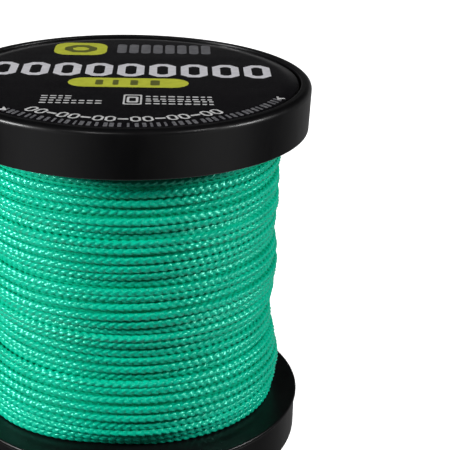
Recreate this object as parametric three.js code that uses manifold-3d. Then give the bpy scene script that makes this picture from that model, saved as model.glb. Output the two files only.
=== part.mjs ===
// A full spool of braided nylon microcord, 64 mm across its flanges.
// Units are millimetres, +Z is up, and the origin is the centre of the face that the spool stands on.
// The spool is a core tube between two moulded flange cups. Each cup is closed by a cover disc with a
// sticker on it, and one length of cord fills the space between the flanges.

import * as THREE from 'three';
import { mergeVertices } from 'three/addons/utils/BufferGeometryUtils.js';
import Module from 'manifold-3d';

const wasm = await Module();
wasm.setup();

// Overall sizes
const FLANGE_RADIUS = 32;
const FLANGE_HEIGHT = 8.2;
const WINDING_SPAN = 51.2;
const SEGMENTS = 60;

// Clearances: between moulded pieces, and the sticker's film of adhesive
const FIT = 0.3;
const ADHESIVE = 0.05;

// Flange cup, measured outward from the face that the cord lies against
const WEB = 2.0;
const WEB_RADIUS = FLANGE_RADIUS - 0.3;
const WEB_EDGE_ROUND = 0.3;
const LIP_ROUND = 1.0;
const LIP_CHAMFER = 0.2;
const CUP_CORNER_ROUND = 0.6;
const REBATE_RADIUS = 30.1;
const REBATE_FLOOR = 6.15;
const CUP_RADIUS = 29.2;
const RIB_COUNT = 6;
const RIB_THICKNESS = 1.2;
const RIB_TOP = 4.8;
const SPINDLE_HOLE_RADIUS = 6.0;
const BOSS_RADIUS = 7.8;

// The bottom flange's wall stands in a little under the edge of its web
const BOTTOM_WALL_STEP = 0.3;
const BOTTOM_WALL_STEP_HEIGHT = 0.7;

// Spigot that plugs the core tube
const SPIGOT_RADIUS = 12.4;
const SPIGOT_WALL = 1.6;
const SPIGOT_LENGTH = 6;
const SPIGOT_CHAMFER = 0.5;

// Core tube
const CORE_RADIUS = 14.4;
const CORE_BORE_RADIUS = SPIGOT_RADIUS + FIT;
const CORE_CHAMFER = 0.4;

// Cover disc and sticker
const COVER_RADIUS = REBATE_RADIUS - FIT;
const COVER_THICKNESS = 1.4;
const SKIRT_DEPTH = 1.35;
const SKIRT_WALL = 1.2;
const LABEL_RADIUS = 29.6;
const LABEL_THICKNESS = 0.2;
const LABEL_BELOW_LIP = 0.1;

// The cover falls away towards its edge, and the sticker follows it
const EDGE_FALL_START = 27.8;
const EDGE_FALL_SLOPE = 0.15;

// Outline of the wound cord: radius at heights above the bottom flange's web, as the cord heaps up
const WINDING_OUTLINE = [
  [26.3, FIT], [27.2, 2], [28.0, 5], [27.9, 8.5], [26.7, 14], [26.4, 18],
  [26.9, 22], [27.3, 27], [26.7, 32], [27.1, 37], [27.1, WINDING_SPAN - FIT],
];
const WINDING_STEPS = 24;

const MATERIALS = {
  blackPlastic: { color: 0x161618, roughness: 0.42, metalness: 0 },
  label: { color: 0x121214, roughness: 0.2, metalness: 0 },
  core: { color: 0x2a2a2c, roughness: 0.6, metalness: 0 },
  cord: { color: 0x00a582, roughness: 0.55, metalness: 0 },
};

function point(radius, height) {
  return new THREE.Vector2(radius, height);
}

// Points of a round corner from one angle to another, in degrees, about a centre in the profile plane
function arc(centreRadius, centreHeight, round, from, to, steps) {
  const points = [];
  for (let i = 0; i <= steps; i += 1) {
    const angle = THREE.MathUtils.degToRad(from + ((to - from) * i) / steps);
    const across = centreRadius + round * Math.cos(angle);
    points.push(point(across, centreHeight + round * Math.sin(angle)));
  }
  return points;
}

// Turns a profile about Z. The profile runs anticlockwise with radius across and height up.
function turned(profile) {
  const geometry = new THREE.LatheGeometry(profile, SEGMENTS);
  geometry.rotateX(Math.PI / 2);
  return geometry;
}

function closed(profile) {
  return [...profile, profile[0].clone()];
}

function toSolid(geometry) {
  const bare = geometry.clone();
  bare.deleteAttribute('normal');
  bare.deleteAttribute('uv');
  const merged = mergeVertices(bare, 1e-4);
  const vertProperties = new Float32Array(merged.attributes.position.array);
  const triVerts = new Uint32Array(merged.index.array);
  return new wasm.Manifold(new wasm.Mesh({ numProp: 3, vertProperties, triVerts }));
}

function toGeometry(solid) {
  const mesh = solid.getMesh();
  const geometry = new THREE.BufferGeometry();
  geometry.setAttribute('position', new THREE.BufferAttribute(mesh.vertProperties, 3));
  geometry.setIndex(new THREE.BufferAttribute(mesh.triVerts, 1));
  geometry.computeVertexNormals();
  return geometry;
}

function piece(name, geometry, finish) {
  const mesh = new THREE.Mesh(geometry, new THREE.MeshStandardMaterial(MATERIALS[finish]));
  mesh.name = name;
  return mesh;
}

// The outer wall of a flange, from the web's edge to the lip. A step sets the wall in under the web's edge.
function flangeWall(lipRadius, step) {
  const wall = [
    ...arc(WEB_RADIUS - WEB_EDGE_ROUND, WEB_EDGE_ROUND, WEB_EDGE_ROUND, -90, 0, 2),
  ];
  if (step > 0) {
    wall.push(point(WEB_RADIUS, BOTTOM_WALL_STEP_HEIGHT - step));
    wall.push(point(WEB_RADIUS - step, BOTTOM_WALL_STEP_HEIGHT));
  }
  const lip = arc(lipRadius - LIP_ROUND, FLANGE_HEIGHT - LIP_ROUND, LIP_ROUND, 0, 90, 4);
  return [...wall, ...lip];
}

function ribGeometry(turn) {
  const inner = (SPINDLE_HOLE_RADIUS + BOSS_RADIUS) / 2;
  const outer = CUP_RADIUS + CUP_CORNER_ROUND;
  const floor = WEB / 2;
  const rib = new THREE.BoxGeometry(outer - inner, RIB_THICKNESS, RIB_TOP - floor);
  rib.translate((outer + inner) / 2, 0, (RIB_TOP + floor) / 2);
  rib.rotateZ(turn);
  return rib;
}

function flangeGeometry(lipRadius, step) {
  const spigotBore = SPIGOT_RADIUS - SPIGOT_WALL;
  const corner = CUP_CORNER_ROUND;
  const cup = turned(closed([
    point(SPINDLE_HOLE_RADIUS, 0),
    point(spigotBore, 0),
    point(spigotBore, -SPIGOT_LENGTH),
    point(SPIGOT_RADIUS - SPIGOT_CHAMFER, -SPIGOT_LENGTH),
    point(SPIGOT_RADIUS, SPIGOT_CHAMFER - SPIGOT_LENGTH),
    point(SPIGOT_RADIUS, 0),
    ...flangeWall(lipRadius, step),
    point(REBATE_RADIUS + LIP_CHAMFER, FLANGE_HEIGHT),
    point(REBATE_RADIUS, FLANGE_HEIGHT - LIP_CHAMFER),
    point(REBATE_RADIUS, REBATE_FLOOR),
    point(CUP_RADIUS, REBATE_FLOOR),
    ...arc(CUP_RADIUS - corner, WEB + corner, corner, 0, -90, 2),
    point(BOSS_RADIUS, WEB),
    point(BOSS_RADIUS, REBATE_FLOOR),
    point(SPINDLE_HOLE_RADIUS, REBATE_FLOOR),
  ]));
  let solid = toSolid(cup);
  for (let i = 0; i < RIB_COUNT; i += 1) {
    solid = solid.add(toSolid(ribGeometry((i * 2 * Math.PI) / RIB_COUNT)));
  }
  return toGeometry(solid);
}

const COVER_TOP = FLANGE_HEIGHT - LABEL_BELOW_LIP - LABEL_THICKNESS - ADHESIVE;

function edgeFall(radius) {
  return (radius - EDGE_FALL_START) * EDGE_FALL_SLOPE;
}

function coverGeometry() {
  const under = COVER_TOP - COVER_THICKNESS;
  const skirt = CUP_RADIUS - FIT;
  return turned([
    point(0, under),
    point(skirt - SKIRT_WALL, under),
    point(skirt - SKIRT_WALL, under - SKIRT_DEPTH),
    point(skirt, under - SKIRT_DEPTH),
    point(skirt, under),
    point(COVER_RADIUS, under),
    point(COVER_RADIUS, COVER_TOP - edgeFall(COVER_RADIUS)),
    point(EDGE_FALL_START, COVER_TOP),
    point(0, COVER_TOP),
  ]);
}

function labelGeometry() {
  const under = COVER_TOP + ADHESIVE;
  const over = under + LABEL_THICKNESS;
  const fall = edgeFall(LABEL_RADIUS);
  return turned([
    point(0, under),
    point(EDGE_FALL_START, under),
    point(LABEL_RADIUS, under - fall),
    point(LABEL_RADIUS, over - fall),
    point(EDGE_FALL_START, over),
    point(0, over),
  ]);
}

function coreGeometry() {
  const end = WINDING_SPAN - FIT;
  return turned(closed([
    point(CORE_BORE_RADIUS, FIT),
    point(CORE_RADIUS - CORE_CHAMFER, FIT),
    point(CORE_RADIUS, FIT + CORE_CHAMFER),
    point(CORE_RADIUS, end - CORE_CHAMFER),
    point(CORE_RADIUS - CORE_CHAMFER, end),
    point(CORE_BORE_RADIUS, end),
  ]));
}

function windingGeometry() {
  const outline = new THREE.SplineCurve(WINDING_OUTLINE.map(([radius, height]) => point(radius, height)));
  const bore = CORE_RADIUS + FIT;
  return turned(closed([
    point(bore, FIT),
    ...outline.getPoints(WINDING_STEPS),
    point(bore, WINDING_SPAN - FIT),
  ]));
}

// One end of the spool, drawn with its web on the plane z = 0 and its cover outward, up +Z
function spoolEnd(side, lipRadius, step) {
  const end = new THREE.Group();
  end.add(piece(`${side}_flange`, flangeGeometry(lipRadius, step), 'blackPlastic'));
  end.add(piece(`${side}_cover`, coverGeometry(), 'blackPlastic'));
  end.add(piece(`${side}_label`, labelGeometry(), 'label'));
  return end;
}

const spool = new THREE.Group();

const bottomEnd = spoolEnd('bottom', WEB_RADIUS - BOTTOM_WALL_STEP, BOTTOM_WALL_STEP);
bottomEnd.position.z = FLANGE_HEIGHT;
bottomEnd.rotation.x = Math.PI;
spool.add(bottomEnd);

const topEnd = spoolEnd('top', FLANGE_RADIUS, 0);
topEnd.position.z = FLANGE_HEIGHT + WINDING_SPAN;
spool.add(topEnd);

const middle = new THREE.Group();
middle.position.z = FLANGE_HEIGHT;
middle.add(piece('core_tube', coreGeometry(), 'core'));
middle.add(piece('cord_winding', windingGeometry(), 'cord'));
spool.add(middle);

export default spool;
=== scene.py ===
"""A full spool of braided nylon microcord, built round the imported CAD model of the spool.

Lengths are in millimetres and become metres when a mesh is made. Only the materials work in metres:
their noise scales are per metre and their bump distances are in metres. Azimuths are measured
anticlockwise from +X, seen from above, so the front of the spool is at -90 degrees.
"""

import math

import bmesh
import bpy
import numpy as np
from mathutils import Matrix, Vector


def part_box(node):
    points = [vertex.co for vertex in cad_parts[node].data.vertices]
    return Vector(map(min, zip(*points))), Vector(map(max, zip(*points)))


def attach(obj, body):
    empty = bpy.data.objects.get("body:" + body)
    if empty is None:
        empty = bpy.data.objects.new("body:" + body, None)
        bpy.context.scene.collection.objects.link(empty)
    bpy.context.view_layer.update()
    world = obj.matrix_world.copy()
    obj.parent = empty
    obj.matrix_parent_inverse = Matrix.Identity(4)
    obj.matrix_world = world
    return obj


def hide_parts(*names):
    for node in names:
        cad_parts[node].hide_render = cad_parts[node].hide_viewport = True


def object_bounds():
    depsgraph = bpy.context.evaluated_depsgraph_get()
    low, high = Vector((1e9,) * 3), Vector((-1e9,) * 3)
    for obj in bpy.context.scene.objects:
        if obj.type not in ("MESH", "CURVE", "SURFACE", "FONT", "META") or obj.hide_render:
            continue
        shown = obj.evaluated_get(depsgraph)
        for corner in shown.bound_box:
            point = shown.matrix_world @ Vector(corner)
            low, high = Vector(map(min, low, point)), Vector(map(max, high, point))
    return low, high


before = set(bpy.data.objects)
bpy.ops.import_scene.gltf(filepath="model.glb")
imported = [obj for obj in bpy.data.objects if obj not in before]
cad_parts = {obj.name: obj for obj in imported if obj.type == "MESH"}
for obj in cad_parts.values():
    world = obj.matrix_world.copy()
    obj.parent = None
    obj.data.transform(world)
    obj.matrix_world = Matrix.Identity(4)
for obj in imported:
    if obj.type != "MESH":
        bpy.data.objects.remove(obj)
cad_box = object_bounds()

MM = 0.001
TURN = 2 * math.pi
SEED = 41

# Clearance between moulded pieces, and between the winding and the plastic round it
FIT = 0.3

# Sizes read from the frame
TOP = cad_box[1].z / MM
FLANGE_RADIUS = cad_box[1].x / MM
BOTTOM_FLANGE_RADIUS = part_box("bottom_flange")[1].x / MM
LABEL_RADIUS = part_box("top_label")[1].x / MM
LABEL_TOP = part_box("top_label")[1].z / MM
COVER_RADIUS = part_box("top_cover")[1].x / MM
COVER_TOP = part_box("top_cover")[1].z / MM
COVER_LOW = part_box("top_cover")[0].z / MM
CORE_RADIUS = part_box("core_tube")[1].x / MM
WEB_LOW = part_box("cord_winding")[0].z / MM - FIT
WEB_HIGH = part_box("cord_winding")[1].z / MM + FIT


# ---------------------------------------------------------------- camera

CAMERA_DISTANCE = 234.2
CAMERA_ELEVATION = math.radians(15.12)
CAMERA_PITCH = math.radians(21.45)
CAMERA_YAW = math.radians(4.42)
CAMERA_ROLL = math.radians(1.505)
CAMERA_LENS = 106.27


def make_camera():
    """Looks along +Y, turned a little to the right, from in front of the spool and above its top."""
    forward = Vector((
        math.sin(CAMERA_YAW) * math.cos(CAMERA_PITCH),
        math.cos(CAMERA_YAW) * math.cos(CAMERA_PITCH),
        -math.sin(CAMERA_PITCH),
    ))
    level_right = forward.cross(Vector((0, 0, 1))).normalized()
    level_up = level_right.cross(forward)
    right = math.cos(CAMERA_ROLL) * level_right + math.sin(CAMERA_ROLL) * level_up
    up = math.cos(CAMERA_ROLL) * level_up - math.sin(CAMERA_ROLL) * level_right
    place = Vector((
        0,
        -CAMERA_DISTANCE * math.cos(CAMERA_ELEVATION),
        TOP + CAMERA_DISTANCE * math.sin(CAMERA_ELEVATION),
    ))
    data = bpy.data.cameras.new("camera")
    data.lens = CAMERA_LENS
    data.sensor_width = 36
    data.clip_start, data.clip_end = 0.01, 20
    camera = bpy.data.objects.new("camera", data)
    turned = Matrix((right, up, -forward)).transposed().to_4x4()
    camera.matrix_world = Matrix.Translation(place * MM) @ turned
    bpy.context.scene.collection.objects.link(camera)
    bpy.context.scene.camera = camera


# ---------------------------------------------------------------- mesh helpers

# Steps in a round corner, distance of the supporting points beside it, and segments of a turned piece
ROUND_STEPS = 6
SUPPORT = 0.08
SEGMENTS = 240


def link_mesh(name, mesh, material, replaces=()):
    """Puts a mesh into the scene as a piece of the spool, in the place of the CAD nodes it replaces."""
    piece = bpy.data.objects.new(name, mesh)
    bpy.context.scene.collection.objects.link(piece)
    mesh.materials.append(material)
    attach(piece, "root")
    if replaces:
        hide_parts(*replaces)
    return piece


def array_mesh(name, points, quads, triangles=(), uvs=None, flat=0):
    """A smooth mesh from arrays: points in millimetres, quads then triangles of point numbers, and
    one uv pair for each face corner in the same order. The last `flat` faces are shaded flat."""
    quads = np.asarray(quads, np.int32).reshape(-1, 4)
    triangles = np.asarray(triangles, np.int32).reshape(-1, 3)
    corners = np.concatenate([quads.ravel(), triangles.ravel()])
    sizes = np.concatenate([np.full(len(quads), 4), np.full(len(triangles), 3)])
    mesh = bpy.data.meshes.new(name)
    mesh.vertices.add(len(points))
    mesh.vertices.foreach_set("co", (np.asarray(points, float) * MM).astype(np.float32).ravel())
    mesh.loops.add(len(corners))
    mesh.loops.foreach_set("vertex_index", corners.astype(np.int32))
    mesh.polygons.add(len(sizes))
    starts = np.concatenate([[0], np.cumsum(sizes)[:-1]])
    mesh.polygons.foreach_set("loop_start", starts.astype(np.int32))
    mesh.polygons.foreach_set("use_smooth", np.arange(len(sizes)) < len(sizes) - flat)
    if uvs is not None:
        layer = mesh.uv_layers.new(name="yarn")
        layer.data.foreach_set("uv", np.asarray(uvs, np.float32).ravel())
    mesh.update(calc_edges=True)
    mesh.validate()
    return mesh


def rounded_profile(corners):
    """A closed profile of (radius, height) points from corners given as (radius, height, rounding).
    Each corner is an arc between two supporting points, where its sides are long enough for them."""
    points = []
    count = len(corners)
    for i, (radius, height, rounding) in enumerate(corners):
        here = np.array([radius, height])
        back = np.array(corners[i - 1][:2]) - here
        ahead = np.array(corners[(i + 1) % count][:2]) - here
        back_length, ahead_length = np.linalg.norm(back), np.linalg.norm(ahead)
        back, ahead = back / back_length, ahead / ahead_length
        half = math.acos(np.clip(back @ ahead, -1, 1)) / 2
        reach = rounding / math.tan(half)
        middle = here + (back + ahead) / np.linalg.norm(back + ahead) * rounding / math.sin(half)
        first, last = here + back * reach - middle, here + ahead * reach - middle
        start = math.atan2(first[1], first[0])
        sweep = (math.atan2(last[1], last[0]) - start + math.pi) % TURN - math.pi
        if back_length > reach + 3 * SUPPORT:
            points.append(here + back * (reach + SUPPORT))
        for step in range(ROUND_STEPS + 1):
            angle = start + sweep * step / ROUND_STEPS
            points.append(middle + rounding * np.array([math.cos(angle), math.sin(angle)]))
        if ahead_length > reach + 3 * SUPPORT:
            points.append(here + ahead * (reach + SUPPORT))
    return np.array(points)


def turned_mesh(name, profile, closed=True):
    """Turns a profile about Z. An open profile starts and ends on the axis."""
    profile = np.asarray(profile, float)
    angles = np.arange(SEGMENTS) * TURN / SEGMENTS
    points = np.stack([
        np.outer(np.cos(angles), profile[:, 0]),
        np.outer(np.sin(angles), profile[:, 0]),
        np.tile(profile[:, 1], (SEGMENTS, 1)),
    ], axis=-1).reshape(-1, 3)
    count = len(profile)
    along = np.arange(count if closed else count - 1)
    here = np.arange(SEGMENTS)[:, None] * count
    there = (np.arange(SEGMENTS)[:, None] + 1) % SEGMENTS * count
    ahead = (along + 1) % count
    quads = np.stack([here + along, there + along, there + ahead, here + ahead], axis=-1)
    mesh = array_mesh(name, points, quads)
    work = bmesh.new()
    work.from_mesh(mesh)
    bmesh.ops.remove_doubles(work, verts=work.verts, dist=1e-7)
    bmesh.ops.recalc_face_normals(work, faces=work.faces)
    work.to_mesh(mesh)
    work.free()
    mesh.shade_smooth()
    return mesh


def flipped(profile):
    """The same profile for the bottom end, upside down about the middle of the winding."""
    turned_over = np.array(profile, float)
    turned_over[:, 1] = TOP - turned_over[:, 1]
    return turned_over[::-1]


# ---------------------------------------------------------------- materials


class NodeTree:
    """Short ways to write a node tree."""

    def __init__(self, tree):
        self.tree = tree

    def add(self, kind, inputs=None, **settings):
        node = self.tree.nodes.new(kind)
        for key, value in settings.items():
            setattr(node, key, value)
        for key, value in (inputs or {}).items():
            self.feed(node.inputs[key], value)
        return node

    def feed(self, socket, value):
        if isinstance(value, bpy.types.NodeSocket):
            self.tree.links.new(value, socket)
        else:
            socket.default_value = value

    def ramp(self, value, low, high, to_low, to_high):
        inputs = {
            "Value": value, "From Min": low, "From Max": high, "To Min": to_low, "To Max": to_high,
        }
        return self.add("ShaderNodeMapRange", inputs).outputs["Result"]

    def combine(self, operation, first, second):
        return self.add("ShaderNodeMath", {0: first, 1: second}, operation=operation).outputs[0]


class Finish(NodeTree):
    """A material and its node tree."""

    def __init__(self, name):
        self.material = bpy.data.materials.new(name)
        self.material.use_nodes = True
        super().__init__(self.material.node_tree)
        self.shader = self.tree.nodes["Principled BSDF"]

    def set(self, **values):
        for key, value in values.items():
            self.feed(self.shader.inputs[key.replace("_", " ")], value)

    def object_place(self, scale=(1, 1, 1)):
        place = self.add("ShaderNodeTexCoord").outputs["Object"]
        return self.add("ShaderNodeMapping", {"Vector": place, "Scale": scale}).outputs["Vector"]

    def noise(self, place, scale, detail, roughness=0.5):
        inputs = {"Vector": place, "Scale": scale, "Detail": detail, "Roughness": roughness}
        return self.add("ShaderNodeTexNoise", inputs).outputs["Fac"]

    def blend(self, factor, first, second):
        node = self.add("ShaderNodeMix", data_type="RGBA")
        for name, value in (("Factor_Float", factor), ("A_Color", first), ("B_Color", second)):
            socket = next(s for s in node.inputs if s.identifier == name)
            self.feed(socket, value)
        return next(s for s in node.outputs if s.identifier == "Result_Color")

    def bump(self, height, strength, distance, below=None):
        inputs = {"Height": height, "Strength": strength, "Distance": distance}
        if below is not None:
            inputs["Normal"] = below
        return self.add("ShaderNodeBump", inputs).outputs["Normal"]


def black_plastic():
    """Satin black moulded plastic: a fine spark-eroded grain and a few faint rubs."""
    finish = Finish("black_plastic")
    place = finish.object_place()
    grain = finish.noise(place, 5200, 2)
    cloud = finish.noise(place, 90, 3)
    rub = finish.noise(finish.object_place((1, 1, 0.25)), 420, 4, 0.65)
    dark, light = (0.0034, 0.0034, 0.0038, 1), (0.0052, 0.0051, 0.0055, 1)
    finish.set(
        Base_Color=finish.blend(finish.ramp(cloud, 0.35, 0.65, 0, 1), dark, light),
        Roughness=finish.ramp(rub, 0.3, 0.75, 0.27, 0.36),
        Specular_IOR_Level=0.25,
        Normal=finish.bump(cloud, 0.10, 0.0006, finish.bump(grain, 0.10, 0.00004)),
    )
    return finish.material


def label_vinyl():
    """Glossy black printed vinyl, not quite flat, with specks of dust."""
    finish = Finish("label_vinyl")
    place = finish.object_place()
    wave = finish.noise(place, 110, 1)
    dust = finish.noise(place, 2600, 3)
    clean, dusty = (0.0066, 0.0062, 0.0074, 1), (0.013, 0.013, 0.014, 1)
    finish.set(
        Base_Color=finish.blend(finish.ramp(dust, 0.66, 0.78, 0, 1), clean, dusty),
        Roughness=finish.ramp(dust, 0.4, 0.8, 0.14, 0.22),
        Specular_IOR_Level=0.5,
        Normal=finish.bump(wave, 0.12, 0.0004),
    )
    return finish.material


def print_ink(name, thin, thick, roughness, metal):
    """Screen-printed ink, a little uneven in cover."""
    finish = Finish(name)
    cover = finish.noise(finish.object_place(), 900, 3)
    finish.set(
        Base_Color=finish.blend(finish.ramp(cover, 0.35, 0.7, 0, 1), thin, thick),
        Roughness=roughness,
        Metallic=metal,
        Normal=finish.bump(cover, 0.15, 0.00002),
    )
    return finish.material


def core_plastic():
    """Matte extruded tube with faint draw lines along it."""
    finish = Finish("core_plastic")
    lines = finish.noise(finish.object_place((1, 1, 0.02)), 1600, 2)
    finish.set(
        Base_Color=finish.blend(lines, (0.012, 0.012, 0.013, 1), (0.026, 0.026, 0.028, 1)),
        Roughness=finish.ramp(lines, 0.3, 0.7, 0.5, 0.65),
        Normal=finish.bump(lines, 0.2, 0.00005),
    )
    return finish.material


def cord_nylon():
    """Braided nylon yarn. The uv map runs across each strand in u and along it in v, in millimetres,
    so the filaments follow the strands over and under each other. The shade drifts over the winding."""
    finish = Finish("cord_nylon")
    yarn = finish.add("ShaderNodeUVMap", uv_map="yarn").outputs["UV"]
    drawn = finish.add("ShaderNodeMapping", {"Vector": yarn, "Scale": (16, 0.9, 1)}).outputs["Vector"]
    filaments = finish.noise(drawn, 1.0, 3, 0.6)
    drift = finish.noise(finish.object_place(), 190, 3)
    deep, pale, between = (0.001, 0.50, 0.305, 1), (0.001, 0.58, 0.365, 1), (0.0, 0.38, 0.225, 1)
    shade = finish.blend(finish.ramp(drift, 0.3, 0.7, 0, 1), deep, pale)
    finish.set(
        Base_Color=finish.blend(finish.ramp(filaments, 0.3, 0.7, 0.0, 0.35), shade, between),
        Roughness=finish.ramp(filaments, 0.3, 0.7, 0.20, 0.32),
        Specular_IOR_Level=0.85,
        Specular_Tint=(0.26, 1.0, 0.77, 1),
        Normal=finish.bump(filaments, 0.22, 0.00002),
    )
    return finish.material


def cord_under_painted_shade():
    """A darker copy of the nylon for the plain turns that lie under the outer layer. Its darker colour
    is painted shade for turns that lie in the shade of the outer layer.
    """
    finish = Finish("cord_under_painted_shade")
    weave = finish.noise(finish.object_place(), 1500, 2)
    finish.set(
        # Darker than the outer nylon: painted shade for the hidden turns
        Base_Color=finish.blend(weave, (0.0, 0.42, 0.25, 1), (0.0, 0.55, 0.34, 1)),
        Roughness=0.55,
        Specular_IOR_Level=0.2,
        Normal=finish.bump(weave, 0.4, 0.0002),
    )
    return finish.material


# ---------------------------------------------------------------- plastic pieces

# Flange cup. Heights are measured outward from the face that the cord lies against, and the rebate,
# the cup, the spindle hole, the boss round it and the spigot are given as radii.
RIM_WIDTH = 1.9
LEDGE_WIDTH = 0.9
LEDGE_HEIGHT = 6.15
REBATE = FLANGE_RADIUS - RIM_WIDTH
CUP = REBATE - LEDGE_WIDTH
WEB = 2.0
WEB_SETBACK = 0.3
WEB_EDGE = FLANGE_RADIUS - WEB_SETBACK
SPINDLE = 6.0
BOSS = 7.8
SPIGOT = 12.4
SPIGOT_WALL = 1.6
SPIGOT_LENGTH = 6.0
RIB_COUNT = 6
RIB_THICKNESS = 1.2
RIB_TOP = 4.8
RIB_OVERLAP = 0.4
CREASE = math.radians(40)

# The bottom flange's wall stands in from the edge of its web, between these heights
WALL_STEP = 0.3
WALL_STEP_START = 0.62
WALL_STEP_END = 0.85

COVER_THICKNESS = 1.4
COVER_ROUND = 0.15
SKIRT_WALL = 1.2

# The cover falls away towards its edge, and the sticker follows it
EDGE_FALL_START = 27.8
EDGE_FALL_SLOPE = 0.15
EDGE_FALL_BEND = 0.6
EDGE_FALL_STEPS = 12
EDGE_ROUND_STEPS = 6


def flange_corners(lip_radius, step):
    """Corners of a flange's section at the top end, as (radius, height, rounding). A step sets the
    wall in under the web's edge."""
    base, ledge = WEB_HIGH, WEB_HIGH + LEDGE_HEIGHT
    corners = [
        (SPINDLE, base, 0.15),
        (SPIGOT - SPIGOT_WALL, base, 0.3),
        (SPIGOT - SPIGOT_WALL, base - SPIGOT_LENGTH, 0.2),
        (SPIGOT, base - SPIGOT_LENGTH, 0.5),
        (SPIGOT, base, 0.12),
        (WEB_EDGE, base, 0.3),
    ]
    if step:
        corners.append((WEB_EDGE, base + WALL_STEP_START, 0.12))
        corners.append((WEB_EDGE - step, base + WALL_STEP_END, 0.15))
    return corners + [
        (lip_radius, TOP, 1.0),
        (REBATE, TOP, 0.2),
        (REBATE, ledge, 0.08),
        (CUP, ledge, 0.1),
        (CUP, base + WEB, 0.6),
        (BOSS, base + WEB, 0.3),
        (BOSS, ledge, 0.15),
        (SPINDLE, ledge, 0.15),
    ]


def make_ribs(above):
    """The ribs of a flange cup as one object. They start inside the boss and end inside the wall."""
    ribs = bmesh.new()
    inner, outer = (SPINDLE + BOSS) / 2, CUP + RIB_OVERLAP
    floor, top = WEB_HIGH + WEB / 2, WEB_HIGH + RIB_TOP
    if not above:
        floor, top = TOP - top, TOP - floor
    for i in range(RIB_COUNT):
        size = Matrix.Diagonal((outer - inner, RIB_THICKNESS, top - floor, 1))
        place = Matrix.Translation(((outer + inner) / 2, 0, (top + floor) / 2))
        turn = Matrix.Rotation(TURN * i / RIB_COUNT, 4, "Z")
        bmesh.ops.create_cube(ribs, size=1, matrix=Matrix.Scale(MM, 4) @ turn @ place @ size)
    mesh = bpy.data.meshes.new("ribs")
    ribs.to_mesh(mesh)
    ribs.free()
    all_ribs = bpy.data.objects.new("ribs", mesh)
    bpy.context.scene.collection.objects.link(all_ribs)
    return all_ribs


def add_ribs(cup, above):
    """Joins the ribs inside a flange cup to its mesh."""
    ribs = make_ribs(above)
    join = cup.modifiers.new("ribs", "BOOLEAN")
    join.operation, join.solver, join.object = "UNION", "EXACT", ribs
    graph = bpy.context.evaluated_depsgraph_get()
    joined = bpy.data.meshes.new_from_object(cup.evaluated_get(graph), depsgraph=graph)
    cup.modifiers.clear()
    cup.data = joined
    joined.shade_smooth()
    joined.set_sharp_from_angle(angle=CREASE)
    bpy.data.objects.remove(ribs)


def make_flanges(plastic):
    top = rounded_profile(flange_corners(FLANGE_RADIUS, 0))
    bottom = flipped(rounded_profile(flange_corners(BOTTOM_FLANGE_RADIUS - WALL_STEP, WALL_STEP)))
    for end, profile in (("top", top), ("bottom", bottom)):
        mesh = turned_mesh(f"flange_{end}", profile)
        flange = link_mesh(f"flange_{end}", mesh, plastic, [f"{end}_flange"])
        add_ribs(flange, end == "top")


def edge_fall(radius):
    """How far the cover and its sticker lie below their middle at a radius."""
    return float(max(radius - EDGE_FALL_START, 0) * EDGE_FALL_SLOPE)


def falling_disc(radius, surface, rounding, under):
    """Half a section of a disc whose top surface falls away at its edge; under holds its lower side."""
    bend = EDGE_FALL_BEND
    flat = [0, 8, 16, 23]
    falling = np.linspace(EDGE_FALL_START - 2 * bend, radius - rounding, EDGE_FALL_STEPS)
    radii = np.concatenate([flat, falling])
    fall = EDGE_FALL_SLOPE * bend * np.logaddexp(0, (radii - EDGE_FALL_START) / bend * 2) / 2
    top = np.stack([radii, surface - fall], axis=1)
    edge_height = top[-1, 1]
    angles = np.radians(np.linspace(90, 0, EDGE_ROUND_STEPS))[1:]
    edge = np.stack([
        radius - rounding + rounding * np.cos(angles),
        edge_height - rounding + rounding * np.sin(angles),
    ], axis=1)
    return np.concatenate([top, edge, under])


def make_discs(kind, profile, material, crease):
    """The same disc at the top and, upside down, at the bottom."""
    for end, section in (("top", profile), ("bottom", flipped(profile))):
        mesh = turned_mesh(f"{kind}_{end}", section, closed=False)
        mesh.set_sharp_from_angle(angle=crease)
        link_mesh(f"{kind}_{end}", mesh, material, [f"{end}_{kind}"])


def make_covers(plastic):
    skirt = CUP - FIT
    plate = COVER_TOP - COVER_THICKNESS
    under = [
        (COVER_RADIUS, plate), (skirt, plate), (skirt, COVER_LOW),
        (skirt - SKIRT_WALL, COVER_LOW), (skirt - SKIRT_WALL, plate), (0, plate),
    ]
    profile = falling_disc(COVER_RADIUS, COVER_TOP, COVER_ROUND, under)
    make_discs("cover", profile, plastic, CREASE)


# ---------------------------------------------------------------- labels

LABEL_THICKNESS = 0.2
LABEL_ROUND = 0.05
LABEL_CREASE = math.radians(60)

# A film of ink stands this proud of what it is printed on, and starts half as far below its surface
INK = 0.012
PRINT_TURN = math.radians(-2)

# An open frame's corner cuts as a share of its width, and the strokes that stand for small print:
# widths from and to, the gap between them, and the shares of the line's height that they take
FRAME_CORNER = 0.32
STROKE_WIDTHS = (0.65, 1.15)
STROKE_GAP = 0.36
STROKE_HEIGHT = 0.24
STROKE_ROUND = 0.08
STROKE_APART = 0.34

BORDER = 28.2
BORDER_START, BORDER_END = -132.5, -25.5
BORDER_HEIGHT = 1.5

# Each ink's colour where it is thin and where it is thick, its roughness and how metallic it is
INKS = {
    "lime": ((0.52, 0.56, 0.045, 1), (0.62, 0.66, 0.060, 1), 0.4, 0.0),
    "silver": ((0.80, 0.79, 0.84, 1), (0.93, 0.92, 0.96, 1), 0.3, 0.15),
    "white": ((0.55, 0.55, 0.55, 1), (0.72, 0.72, 0.72, 1), 0.4, 0.0),
    "grey": ((0.11, 0.11, 0.12, 1), (0.17, 0.17, 0.18, 1), 0.4, 0.0),
    "dark": ((0.10, 0.11, 0.02, 1), (0.14, 0.15, 0.03, 1), 0.4, 0.0),
}


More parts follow.
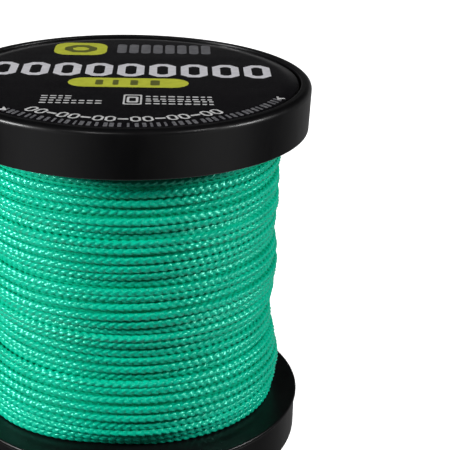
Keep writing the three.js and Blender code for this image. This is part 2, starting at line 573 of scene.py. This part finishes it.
def make_labels(vinyl):
    under = LABEL_TOP - LABEL_THICKNESS
    lower_side = [
        (LABEL_RADIUS, under - edge_fall(LABEL_RADIUS)), (EDGE_FALL_START, under), (0, under),
    ]
    profile = falling_disc(LABEL_RADIUS, LABEL_TOP, LABEL_ROUND, lower_side)
    make_discs("label", profile, vinyl, LABEL_CREASE)


def round_box(x, y, width, height, rounding, tilt=0.0, steps=4):
    """Outline of a box with round corners, centred at x, y and tilted by an angle."""
    outline = []
    for corner in range(4):
        side = math.pi / 2 * corner
        cx = (width / 2 - rounding) * (1 if corner in (0, 3) else -1)
        cy = (height / 2 - rounding) * (1 if corner in (0, 1) else -1)
        for step in range(steps + 1):
            angle = side + math.pi / 2 * step / steps
            px, py = cx + rounding * math.cos(angle), cy + rounding * math.sin(angle)
            outline.append((
                x + px * math.cos(tilt) - py * math.sin(tilt),
                y + px * math.sin(tilt) + py * math.cos(tilt),
            ))
    return outline


def on_circle(radius, azimuth):
    return radius * math.cos(azimuth), radius * math.sin(azimuth)


class Print:
    """Marks of one ink: each is a closed film, a little proud of the sticker. The level lifts an ink
    that is printed on top of another."""

    def __init__(self, level=0.0, underside=False):
        self.points, self.faces = [], []
        self.level, self.underside = level, underside

    def lift(self, x, y, height):
        """A place on the print laid on the top sticker or, turned over, on the bottom one."""
        x, y = (
            x * math.cos(PRINT_TURN) - y * math.sin(PRINT_TURN),
            x * math.sin(PRINT_TURN) + y * math.cos(PRINT_TURN),
        )
        z = LABEL_TOP - edge_fall(math.hypot(x, y)) + self.level + height
        return (-x, y, TOP - z) if self.underside else (x, y, z)

    def mark(self, outline, hole=None):
        """Adds a convex mark, or a ring between an outline and a hole with as many points."""
        count, first = len(outline), len(self.points)
        loops = [outline] + ([hole] if hole else [])
        for height in (-INK / 2, INK):
            for loop in loops:
                self.points += [self.lift(x, y, height) for x, y in loop]
        high = first + count * len(loops)
        if not hole:
            self.faces.append([first + i for i in reversed(range(count))])
            self.faces.append([high + i for i in range(count)])
        for a in range(count):
            b = (a + 1) % count
            self.faces.append([first + a, first + b, high + b, high + a])
            if hole:
                low_in, high_in = first + count, high + count
                self.faces.append([low_in + b, low_in + a, high_in + a, high_in + b])
                self.faces.append([high + a, high + b, high_in + b, high_in + a])
                self.faces.append([first + b, first + a, low_in + a, low_in + b])

    def make(self, name, material):
        mesh = bpy.data.meshes.new(name)
        mesh.from_pydata([[c * MM for c in p] for p in self.points], [], self.faces)
        work = bmesh.new()
        work.from_mesh(mesh)
        bmesh.ops.recalc_face_normals(work, faces=work.faces)
        work.to_mesh(mesh)
        work.free()
        link_mesh(name, mesh, material)


def open_frame(ink, x, y, width, height, stroke, tilt=0.0):
    """An open eight-sided frame."""
    corner = min(width, height) * FRAME_CORNER
    outline = round_box(x, y, width, height, corner, tilt, steps=1)
    wide, high = width - 2 * stroke, height - 2 * stroke
    inner_corner = min(wide, high) * FRAME_CORNER
    ink.mark(outline, round_box(x, y, wide, high, inner_corner, tilt, steps=1))


def line_of_marks(ink, start, end, y, height, rng):
    """A line of pairs of short strokes of uneven width that stands for a line of small print."""
    least = 0.4
    thick, rounding = height * STROKE_HEIGHT, height * STROKE_ROUND
    x = start
    while x < end - least:
        width = rng.uniform(*STROKE_WIDTHS)
        for side in (-1, 1):
            middle = y + side * height * STROKE_APART
            ink.mark(round_box(x + width / 2, middle, width, thick, rounding))
        x += width + STROKE_GAP


def arc_of_marks(ink, radius, start, end, width, height, count):
    """Small frames and bars by turns along an arc, each standing up from it."""
    for i in range(count):
        azimuth = math.radians(start + (end - start) * i / (count - 1))
        x, y = on_circle(radius, azimuth)
        tilt = azimuth + math.pi / 2
        if i % 3 == 2:
            ink.mark(round_box(x, y, width, height * 0.22, height * STROKE_ROUND, tilt))
        else:
            open_frame(ink, x, y, width, height, 0.38, tilt)


def print_panels(lime, dark):
    """A square panel with a frame on it, and a long round-ended panel with upright bars on it."""
    x, y = -9.7, 19.4
    lime.mark(round_box(x, y, width=9.8, height=9.2, rounding=2.8))
    open_frame(dark, x, y, width=6.0, height=5.6, stroke=1.5)
    y = -3.9
    lime.mark(round_box(0.0, y, width=20.8, height=5.8, rounding=2.89))
    for x, width in ((-5.0, 1.3), (-2.2, 1.0), (1.0, 1.3), (4.6, 1.6)):
        dark.mark(round_box(x, y, width, height=3.2, rounding=0.4))


def print_rows(silver, grey):
    """A row of silver frames right across the sticker, and a short row of grey bars behind it."""
    first, pitch = 22.65, 5.62
    for i in range(9):
        open_frame(silver, first - pitch * i, y=4.6, width=4.75, height=8.7, stroke=1.4)
    first, pitch = -2.0, 2.25
    for i in range(8):
        grey.mark(round_box(first + pitch * i, y=20.0, width=1.75, height=6.6, rounding=0.7))


def print_small_lines(white, rng):
    """Two lines of small print on each side of a pair of nested frames, and an arc in front of them."""
    line_of_marks(white, start=-14.1, end=-9.3, y=-13.3, height=1.9, rng=rng)
    line_of_marks(white, start=-14.1, end=-3.5, y=-16.0, height=2.1, rng=rng)
    x, y = 1.05, -14.3
    white.mark(round_box(x, y, 3.1, 5.8, rounding=0.4), round_box(x, y, 2.5, 4.9, rounding=0.3))
    white.mark(round_box(x, y, 1.9, 3.4, rounding=0.4), round_box(x, y, 1.1, 2.1, rounding=0.3))
    line_of_marks(white, start=3.2, end=14.6, y=-13.1, height=2.3, rng=rng)
    line_of_marks(white, start=3.2, end=14.6, y=-15.8, height=2.3, rng=rng)
    arc_of_marks(white, radius=25.3, start=-126, end=-54.5, width=1.7, height=2.6, count=17)


def print_border(grey, white, rng):
    """Uneven grey strokes along the front of the rim, between two white triangles."""
    step, uneven = 2.45, 0.3
    for azimuth in np.arange(BORDER_START, BORDER_END, step):
        turn = math.radians(float(azimuth) + rng.uniform(-uneven, uneven))
        width = rng.uniform(0.35, 0.75)
        x, y = on_circle(BORDER, turn)
        tilt = turn + math.pi / 2
        grey.mark(round_box(x, y, width, BORDER_HEIGHT, rounding=0.15, tilt=tilt))
    sweep, half_width = 3.2, 0.8
    for azimuth, way in ((BORDER_START - 2.5, 1), (BORDER_END + 1.5, -1)):
        base, tip = math.radians(azimuth), math.radians(azimuth + sweep * way)
        white.mark([
            on_circle(BORDER, tip),
            on_circle(BORDER + half_width, base),
            on_circle(BORDER - half_width, base),
        ])


def print_underside(under, rng):
    """A full border of even strokes round three lines of small print."""
    step = 4.0
    for azimuth in np.arange(0, 360, step):
        turn = math.radians(float(azimuth))
        x, y = on_circle(BORDER, turn)
        tilt = turn + math.pi / 2
        under.mark(round_box(x, y, 0.8, BORDER_HEIGHT, rounding=0.25, tilt=tilt))
    for y, end in ((4, 12), (0, 9), (-4, 6)):
        line_of_marks(under, start=-12, end=end, y=y, height=2.4, rng=rng)


def make_print():
    """Generic print with no lettering: coloured panels, open frames, rows of strokes and a border."""
    rng = np.random.default_rng(SEED)
    inks = {name: print_ink(f"ink_{name}", *look) for name, look in INKS.items()}
    marks = {name: Print(level=INK if name == "dark" else 0.0) for name in INKS}
    print_panels(marks["lime"], marks["dark"])
    print_rows(marks["silver"], marks["grey"])
    print_small_lines(marks["white"], rng)
    print_border(marks["grey"], marks["white"], rng)
    for name in INKS:
        marks[name].make(f"print_{name}", inks[name])

    under = Print(underside=True)
    print_underside(under, rng)
    under.make("print_underside", inks["grey"])


# ---------------------------------------------------------------- cord

# The cord and its layers. Places along it are counted in turns. Every turn starts at the same azimuth,
# passes the front at FRONT, climbs one place over its last stretch, CLIMB long, and has SAMPLES points.
# The outer layer is cut into CORD_PIECES, and the next layer lies LAYER_STEP deeper.
CORD = 1.50
TURNS = 35
TURN_START = math.radians(120)
FRONT = 0.40
CLIMB = 1 / 6
SAMPLES = 360
CORD_PIECES = 6
LAYERS = 10
LAYER_STEP = 0.85
WEB_CLEARANCE = 0.02

# Middles of the stretches where a turn sinks between its neighbours or rides up on them, how far each
# stretch reaches to both sides, how deep or high it goes, and how much closer the turns lie there
SUNK = (3.62, 6.9, 9.45, 12.7, 15.35, 18.72, 21.4, 24.75, 27.5, 30.62, 32.9)
SUNK_REACH = 0.42
SUNK_DEPTH = 0.62
SUNK_CLOSER = 0.36
RAISED = (4.9, 8.1, 14.05, 17.2, 20.1, 23.2, 26.1, 29.3)
RAISED_REACH = 0.38
RAISED_HEIGHT = 0.34
RAISED_CLOSER = 0.22

# Unevenness of the winding, as an amount and the turns over which it changes. The gaps between turns
# keep even for END_CALM turns near the cord's two ends.
END_CALM = 0.5
SPACING_WANDER, SPACING_WANDER_TURNS = 0.13, 0.31
SPACING_RIPPLE, SPACING_RIPPLE_TURNS = 0.06, 0.12
RADIUS_WANDER, RADIUS_WANDER_TURNS = 0.08, 0.27
ROLL_MIDDLE = math.radians(-22.5)
ROLL_WANDER, ROLL_WANDER_TURNS = math.radians(40), 0.6

# The lowest turns bulge out round the bottom flange, but at the front the lowest two hang lower down
# the pile, with a dip in the first. The two topmost turns lie in under the top flange there.
BULGE = 0.9
BULGE_TURNS = 2
HANG = (2.1, 0.9)
HANG_LEFT, HANG_RIGHT = 0.155, 0.28
DIP, DIP_PLACE, DIP_REACH = 0.4, 0.395, 0.07
TUCK = (1.2, 0.6)
TUCK_REACH = 0.36

# Both ends of the cord dive under the outer layer, over a length taken at the winding's mean radius
END_DIVE = 1.3
END_LENGTH = 16
MEAN_RADIUS = 26

# The braid: the length in which a strand goes once round, the grid lines to a strand, the distance
# between the grid's rows, the radius at the grooves between strands and a strand's crown above them.
# Then a strand's width and the length of a step along it, how abruptly it dives, and its creases.
STRANDS = 8
LAY = 5.7
FINE = 4
ROW = LAY / (STRANDS * FINE)
GROOVE = 0.53
STRAND = CORD / 2 - GROOVE
STRAND_ACROSS = 0.62
STRAND_ALONG = 0.93
STRAND_DIVE = 0.45
STRAND_CREASE = math.radians(52)


def smooth_step(x):
    x = np.clip(x, 0, 1)
    return x * x * (3 - 2 * x)


def wander(turns, spacing, rng):
    """Smooth noise along the cord between -1 and 1, with a fresh value every `spacing` turns."""
    knots = rng.uniform(-1, 1, int(turns[-1] / spacing) + 5)
    at = turns / spacing + 1
    i = at.astype(int)
    t = at - i
    a, b, c, d = knots[i - 1], knots[i], knots[i + 1], knots[i + 2]
    square, cube = 2 * a - 5 * b + 4 * c - d, 3 * b - a - 3 * c + d
    return 0.5 * (2 * b + (c - a) * t + square * t**2 + cube * t**3)


def windows(turns, centres, reach):
    """Smooth bumps from 0 to 1 about the given places along the cord."""
    total = np.zeros_like(turns)
    for centre in centres:
        total = np.maximum(total, 1 - smooth_step(np.abs(turns - centre) / reach))
    return total


def hanging(turns):
    """From 1 at the front to 0 a little way round to the left, and further round to the right."""
    return 1 - smooth_step(np.where(turns < 0, -turns / HANG_LEFT, turns / HANG_RIGHT))


def climbing(turns):
    """From 0 to 1 over the last stretch of each turn, where it climbs one place."""
    return smooth_step((turns % 1 - (1 - CLIMB)) / CLIMB)


def winding_outline(height):
    """Radius of the CAD winding's outer surface at each height. The points of its bore don't count."""
    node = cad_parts["cord_winding"]
    places = np.array([v.co for v in node.data.vertices], float).reshape(-1, 3) / MM
    radius = np.hypot(places[:, 0], places[:, 1])
    outer = radius > (CORE_RADIUS + FLANGE_RADIUS) / 2
    order = np.argsort(places[outer, 2])
    return np.interp(height, places[outer, 2][order], radius[outer][order])


def turn_heights(turns, sunk, raised, rng):
    """Height of the outer layer's centreline. Each turn keeps level for most of its way round and
    climbs one place at the back. The gaps between turns wander, and are smaller under a turn that sinks
    or rides up and under the turn below it. They are scaled to fill the span at every azimuth."""
    low, high = WEB_LOW + CORD / 2 + WEB_CLEARANCE, WEB_HIGH - CORD / 2 - WEB_CLEARANCE
    pitch = (high - low) / (TURNS - 1)
    closer = SUNK_CLOSER * sunk + RAISED_CLOSER * raised
    closer = np.maximum(closer, np.append(closer[SAMPLES:], np.zeros(SAMPLES)))
    loose = SPACING_WANDER * wander(turns, SPACING_WANDER_TURNS, rng)
    loose = loose + SPACING_RIPPLE * wander(turns, SPACING_RIPPLE_TURNS, rng) - closer
    free = smooth_step(np.abs(turns - 1) / END_CALM) * smooth_step((TURNS - turns) / END_CALM)
    gap = pitch + loose * free

    gap[:SAMPLES] = 0
    rise = np.cumsum(gap.reshape(TURNS, SAMPLES), axis=0)
    fill_span = np.tile((high - low) / rise[-1], TURNS)
    return low + fill_span * (rise.ravel() + climbing(turns) * pitch)


def turn_radii(turns, height, sunk, raised, rng):
    """Radius of the outer layer's centreline: the CAD winding's outline, with what the single turns do
    on it."""
    radius = winding_outline(height) - CORD / 2
    radius += RADIUS_WANDER * (wander(turns, RADIUS_WANDER_TURNS, rng) - 0.5)
    radius += RAISED_HEIGHT * raised - SUNK_DEPTH * sunk
    radius += BULGE * smooth_step(1 - turns / BULGE_TURNS)
    for turn, (hang, tuck) in enumerate(zip(HANG, TUCK)):
        radius -= hang * hanging(turns - turn - FRONT)
        radius -= tuck * windows(turns, [TURNS - 1 - turn + FRONT], TUCK_REACH)
    radius -= DIP * windows(turns, [DIP_PLACE], DIP_REACH)
    from_end = np.minimum(turns, TURNS - CLIMB - turns) * TURN * MEAN_RADIUS
    return radius - END_DIVE * (1 - smooth_step(from_end / END_LENGTH))


def lay_out_turns():
    """The outer layer's centreline as azimuth, radius, height and roll, SAMPLES to a turn. It stops
    where the last turn would climb."""
    rng = np.random.default_rng(SEED)
    turns = np.arange(SAMPLES * TURNS) / SAMPLES
    sunk = windows(turns, SUNK, SUNK_REACH)
    raised = windows(turns, RAISED, RAISED_REACH)
    height = turn_heights(turns, sunk, raised, rng)
    radius = turn_radii(turns, height, sunk, raised, rng)
    roll = ROLL_MIDDLE + ROLL_WANDER * wander(turns, ROLL_WANDER_TURNS, rng)
    azimuth = TURN_START + turns * TURN
    last = SAMPLES * TURNS - int(SAMPLES * CLIMB)
    return azimuth[:last], radius[:last], height[:last], roll[:last]


def even_height(turns, shift):
    """Height of a hidden layer's turns, which climb at the back as the outer ones do. The shift sets
    a layer half a place along from its neighbours."""
    pitch = (WEB_HIGH - WEB_LOW - CORD) / (TURNS - 1)
    return WEB_LOW + CORD / 2 + pitch * (np.floor(turns) + climbing(turns) + shift)


class Path:
    """A centreline that can be read at any length along it."""

    def __init__(self, azimuth, radius, height, roll):
        self.azimuth, self.radius, self.height, self.roll = azimuth, radius, height, roll
        points = np.stack([radius * np.cos(azimuth), radius * np.sin(azimuth), height], axis=1)
        steps = np.linalg.norm(np.diff(points, axis=0), axis=1)
        self.length = np.concatenate([[0], np.cumsum(steps)])
        self.slope = np.gradient(height, self.length)

    def total(self):
        return self.length[-1]

    def at(self, along, values):
        return np.interp(along, self.length, values)[:, None]

    def ring(self, along, angle, reach):
        """Points round the cord: at each length, at angles from outward towards +Z, at a distance."""
        azimuth, radius = self.at(along, self.azimuth), self.at(along, self.radius)
        turned = angle + self.at(along, self.roll)
        out, up = reach * np.cos(turned), reach * np.sin(turned)
        tilt = np.arctan(self.at(along, self.slope))
        x = (radius + out) * np.cos(azimuth) + up * np.sin(tilt) * np.sin(azimuth)
        y = (radius + out) * np.sin(azimuth) - up * np.sin(tilt) * np.cos(azimuth)
        z = self.at(along, self.height) + up * np.cos(tilt)
        return np.stack([x, y, z], axis=-1)


def strand_height(a, b):
    """Height of the upper strand, from 0 in the grooves to 1, where eight strands are braided two
    over two. Strands of the first family lie between whole numbers of a and run along b."""
    best = np.zeros(a.shape)
    for nudge_a in (-1e-4, 1e-4):
        for nudge_b in (-1e-4, 1e-4):
            i, j = np.floor(a + nudge_a), np.floor(b + nudge_b)
            phase = (i + j) % 4
            first = phase < 2
            across = np.where(first, a - i, b - j) * 2 - 1
            along = np.where(first, (b - j + phase) / 2, (a - i + phase - 2) / 2)
            crown = np.clip(1 - across**2, 0, 1)
            dive = np.clip(np.sin(math.pi * np.clip(along, 0, 1)), 0, 1) ** STRAND_DIVE
            best = np.maximum(best, crown * dive)
    return best


def braid_quads(rows):
    """The grid's faces, four-cornered and standing on a corner, and a uv pair for each corner. In
    every face the corners are the ones below, left, above and right of its middle."""
    around = STRANDS // 2 * FINE
    row = np.arange(1, len(rows) - 1)[:, None]
    odd = rows[row] % 2
    middle = np.arange(around)[None, :] * 2 + 1 - odd
    above_and_below = (middle - (1 - odd)) // 2 % around
    down = (row - 1) * around + above_and_below
    up = (row + 1) * around + above_and_below
    right = row * around + ((middle + 1 - odd) // 2) % around
    left = row * around + ((middle - 1 - odd) // 2) % around
    quads = np.stack([down, left, up, right], axis=-1).reshape(-1, 4)

    half = 1 / (2 * FINE)
    a, b = (middle - rows[row]) * half, (middle + rows[row]) * half
    first = (np.floor(a) + np.floor(b)) % 4 < 2
    uvs = []
    for da, db in ((half, -half), (-half, -half), (-half, half), (half, half)):
        across = np.where(first, a + da, b + db) * STRAND_ACROSS
        along = np.where(first, b + db, a + da) * STRAND_ALONG
        uvs.append(np.stack([across, along], axis=-1))
    return quads, np.stack(uvs, axis=2).reshape(-1, 2)


def braided_mesh(name, path, first_row, last_row):
    """A closed stretch of braid on a grid whose lines follow the two families of strands, so that
    each strand's edge is an edge of the mesh. Rows are ROW apart, and every other one is staggered."""
    around = STRANDS // 2 * FINE
    rows = np.arange(first_row, last_row + 1)
    place = np.arange(around)[None, :] * 2 + (rows[:, None] % 2)
    a, b = (place - rows[:, None]) / (2 * FINE), (place + rows[:, None]) / (2 * FINE)
    reach = GROOVE + STRAND * strand_height(a, b)
    points = path.ring(rows * ROW, place / (2 * around) * TURN, reach).reshape(-1, 3)
    quads, uvs = braid_quads(rows)

    count = len(rows)
    fills, caps, middles = [], [], []
    for outer, inner, way in ((0, 1, 1), (count - 1, count - 2, -1)):
        middles.append(points[outer * around:(outer + 1) * around].mean(axis=0))
        for s in range(around):
            here, there = outer * around + s, outer * around + (s + 1) % around
            between = inner * around + (s + rows[outer] % 2) % around
            fills.append((here, between, there)[::way])
            caps.append((here, there, len(points) + len(middles) - 1)[::way])
    points = np.concatenate([points, middles])
    uvs = np.concatenate([uvs, np.zeros((len(fills + caps) * 3, 2))])
    mesh = array_mesh(name, points, quads, fills + caps, uvs, flat=len(caps))
    mesh.set_sharp_from_angle(angle=STRAND_CREASE)
    return mesh


def plain_tube(name, path, step, sides):
    """The cord as a smooth closed tube along a path, with no braid."""
    along = np.arange(0, path.total(), step)
    angles = np.arange(sides)[None, :] * TURN / sides
    points = path.ring(along, angles, CORD / 2).reshape(-1, 3)
    row = np.arange(len(along) - 1)[:, None] * sides
    side = np.arange(sides)[None, :]
    after = (side + 1) % sides
    quads = np.stack([row + side, row + sides + side, row + sides + after, row + after], axis=-1)
    last = (len(along) - 1) * sides
    middles = [points[:sides].mean(axis=0), points[last:].mean(axis=0)]
    caps = [(s, (s + 1) % sides, len(points)) for s in range(sides)]
    caps += [(last + (s + 1) % sides, last + s, len(points) + 1) for s in range(sides)]
    return array_mesh(name, np.concatenate([points, middles]), quads, caps, flat=len(caps))


def make_outer_layer(outer, nylon):
    """The braid that is seen, cut into pieces of about the same number of turns."""
    starts = np.linspace(0, TURNS, CORD_PIECES + 1).astype(int)[:-1] * SAMPLES
    edges = np.append(outer.length[starts], outer.total()) / ROW
    edges = edges.astype(int)
    for i in range(CORD_PIECES):
        name = f"cord_outer_{i + 1}"
        mesh = braided_mesh(name, outer, edges[i], edges[i + 1])
        link_mesh(name, mesh, nylon, ["cord_winding"])


def second_layer(outer):
    """Path of the layer under the outer one: each of its turns lies between two of the outer turns."""
    keep = len(outer.azimuth) - SAMPLES
    between = (outer.height[:keep] + outer.height[SAMPLES:]) / 2
    below = (outer.radius[:keep] + outer.radius[SAMPLES:]) / 2
    level = winding_outline(between) - CORD / 2
    radius = np.minimum(below, level) - LAYER_STEP
    return Path(outer.azimuth[:keep], radius, between, outer.roll[:keep])


def make_cord(nylon, under):
    """Ten layers of one cord: braid where it is seen, and plain tube from there down to the core."""
    outer = Path(*lay_out_turns())
    make_outer_layer(outer, nylon)
    second = second_layer(outer)
    # The hidden layers take the darker copy of the nylon, whose colour is painted shade
    mesh = plain_tube("cord_second_layer", second, step=1.1, sides=8)
    link_mesh("cord_second_layer", mesh, under, ["cord_winding"])

    turns = np.arange(len(second.azimuth)) / SAMPLES
    deepest = CORE_RADIUS + FIT + CORD / 2
    for layer in range(3, LAYERS + 1):
        depth = (layer - 2) / (LAYERS - 2)
        radius = second.radius * (1 - depth) + deepest * depth
        hidden = Path(second.azimuth, radius, even_height(turns, layer % 2 / 2), second.roll)
        mesh = plain_tube(f"cord_layer_{layer}", hidden, step=1.6, sides=6)
        link_mesh(f"cord_layer_{layer}", mesh, under, ["cord_winding"])


# ---------------------------------------------------------------- studio

FLOOR_HALF = 3000
LAMP_DISTANCE = 600
LAMP_AIM = Vector((0, 0, 45))

# Strength of the room's glow as the spool's gloss mirrors it, and the share of it that lights
# matte surfaces
GLOW_SIDES = 2.1
GLOW_BEHIND = 0.27
GLOW_BELOW = 0.8
GLOW_ON_MATTE = 0.25

# Sines of the elevations between which each of them fades out
SIDES_FADE = (0.02, 0.24)
BEHIND_FADE = (0.05, 0.25)
BELOW_FADE = (-0.85, -0.6)


def make_floor():
    """A white floor with a glow of its own, so that shadows on it stay faint. It lights nothing."""
    mesh = bpy.data.meshes.new("floor")
    corners = [(-FLOOR_HALF, -FLOOR_HALF), (FLOOR_HALF, -FLOOR_HALF)]
    corners += [(FLOOR_HALF, FLOOR_HALF), (-FLOOR_HALF, FLOOR_HALF)]
    mesh.from_pydata([(x * MM, y * MM, 0) for x, y in corners], [], [(0, 1, 2, 3)])
    floor = bpy.data.objects.new("floor", mesh)
    bpy.context.scene.collection.objects.link(floor)
    finish = Finish("floor_white")
    finish.set(
        Base_Color=(0.8, 0.8, 0.8, 1), Roughness=0.9, Specular_IOR_Level=0.1,
        Emission_Color=(1, 1, 1, 1), Emission_Strength=1.0,
    )
    mesh.materials.append(finish.material)
    floor.visible_diffuse = False
    floor.visible_glossy = False


def soft_box(name, azimuth, elevation, size, radiance):
    """A rectangular lamp that looks at the spool. Its power follows from its size and radiance."""
    data = bpy.data.lights.new(name, "AREA")
    data.shape = "RECTANGLE"
    data.size, data.size_y = size[0] * MM, size[1] * MM
    data.energy = radiance * math.pi * data.size * data.size_y
    lamp = bpy.data.objects.new(name, data)
    bpy.context.scene.collection.objects.link(lamp)
    a, e = math.radians(azimuth), math.radians(elevation)
    away = Vector((math.cos(a) * math.cos(e), math.sin(a) * math.cos(e), math.sin(e)))
    lamp.location = (LAMP_AIM + away * LAMP_DISTANCE) * MM
    lamp.rotation_euler = away.to_track_quat("Z", "Y").to_euler()


def room_glow(nodes):
    """Strength of the room's glow by direction: pale walls low down at the front left and right, a
    faint one low down at the back, and a lit floor. The rest is dark."""
    direction = nodes.add("ShaderNodeTexCoord").outputs["Generated"]
    parts = nodes.add("ShaderNodeSeparateXYZ", {"Vector": direction})
    x, y, z = (parts.outputs[axis] for axis in "XYZ")

    sides = nodes.combine("MULTIPLY", x, x)
    sides = nodes.combine("MULTIPLY", sides, nodes.ramp(y, -1.0, 0.0, 1.0, 0.0))
    sides = nodes.combine("MULTIPLY", sides, nodes.ramp(z, *SIDES_FADE, GLOW_SIDES, 0.0))
    behind = nodes.ramp(y, 1.0, 0.0, GLOW_BEHIND, 0.0)
    behind = nodes.combine("MULTIPLY", behind, nodes.ramp(z, *BEHIND_FADE, 1.0, 0.0))
    below = nodes.ramp(z, *BELOW_FADE, GLOW_BELOW, 0.0)
    return nodes.combine("ADD", nodes.combine("ADD", sides, behind), below)


def make_world():
    """White where the camera sees it, and the room's glow for everything else."""
    world = bpy.data.worlds.new("studio")
    world.use_nodes = True
    nodes = NodeTree(world.node_tree)
    path = nodes.add("ShaderNodeLightPath")
    share = nodes.ramp(path.outputs["Is Diffuse Ray"], 0.0, 1.0, 1.0, GLOW_ON_MATTE)
    strength = nodes.combine("MULTIPLY", room_glow(nodes), share)
    white = (1, 1, 1, 1)
    room = nodes.add("ShaderNodeBackground", {"Color": white, "Strength": strength})
    seen = world.node_tree.nodes["Background"]
    nodes.feed(seen.inputs["Color"], white)
    nodes.feed(seen.inputs["Strength"], 1.0)
    choose = nodes.add("ShaderNodeMixShader", {
        0: path.outputs["Is Camera Ray"], 1: room.outputs[0], 2: seen.outputs[0],
    })
    nodes.feed(world.node_tree.nodes["World Output"].inputs["Surface"], choose.outputs[0])
    bpy.context.scene.world = world


def make_studio():
    make_floor()
    make_world()
    soft_box("side_left", azimuth=-165, elevation=18, size=(180, 110), radiance=69.0)
    soft_box("side_right", azimuth=-14, elevation=22, size=(150, 105), radiance=47.0)
    soft_box("high_right", azimuth=-40, elevation=42, size=(100, 70), radiance=26.0)
    soft_box("high_left", azimuth=-114, elevation=44, size=(50, 36), radiance=85.0)
    bpy.context.scene.view_settings.view_transform = "Standard"


# ---------------------------------------------------------------- the whole scene

make_camera()
plastic = black_plastic()
make_flanges(plastic)
make_covers(plastic)
make_labels(label_vinyl())
make_print()
make_cord(cord_nylon(), cord_under_painted_shade())

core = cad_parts["core_tube"]
core.data.materials.clear()
core.data.materials.append(core_plastic())

make_studio()
